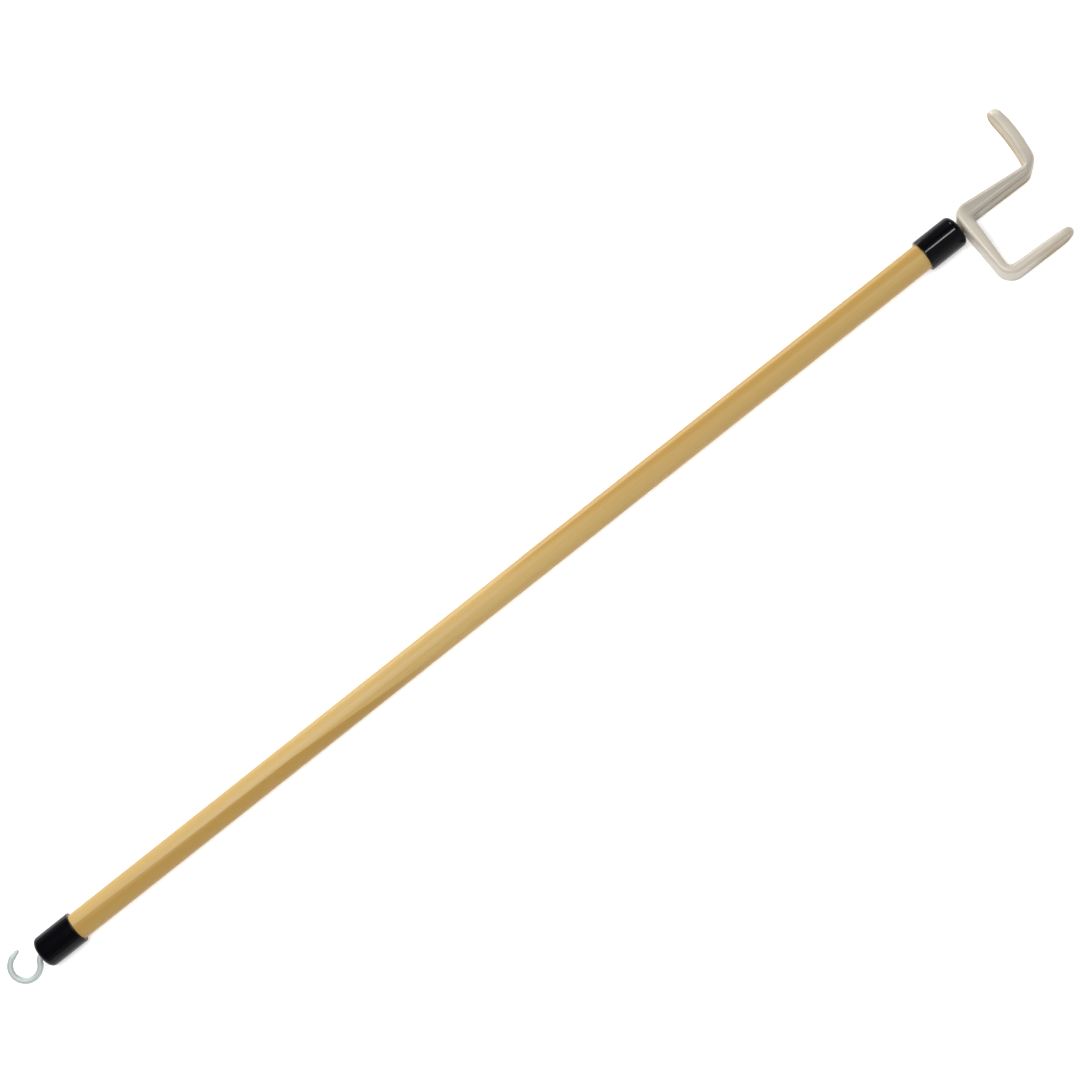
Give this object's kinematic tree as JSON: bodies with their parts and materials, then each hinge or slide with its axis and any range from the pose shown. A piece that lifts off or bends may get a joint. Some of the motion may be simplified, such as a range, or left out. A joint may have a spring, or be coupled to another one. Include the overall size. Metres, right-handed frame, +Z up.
{
  "type": "dressing stick",
  "caption": "Long round wooden stick with vinyl end caps, a coated push and pull hook on one end and a small C-shaped zipper hook on the other.",
  "frame": {"origin": "bottom centre of the stick's box as it lies on the ground", "axes": "+X along the stick from the zipper hook to the push/pull hook, +Y towards the push/pull hook's curved arm, +Z up"},
  "size_m": [0.7228, 0.0854, 0.0191],
  "materials": {
    "lacquered_wood": "clear gloss lacquer over pale hardwood",
    "black_vinyl": "glossy dip-moulded vinyl",
    "cream_vinyl": "glossy dip-moulded vinyl",
    "bare_steel": "mill finish mild steel",
    "plated_wire": "bright zinc plating"
  },
  "bodies": {
    "root": {"dowel": "lacquered_wood", "push_hook_cap": "black_vinyl", "zipper_hook_cap": "black_vinyl", "hook_coating": "cream_vinyl", "hook_strip": "bare_steel", "hook_stud": "bare_steel", "zipper_hook": "plated_wire"}
  },
  "joints": []
}
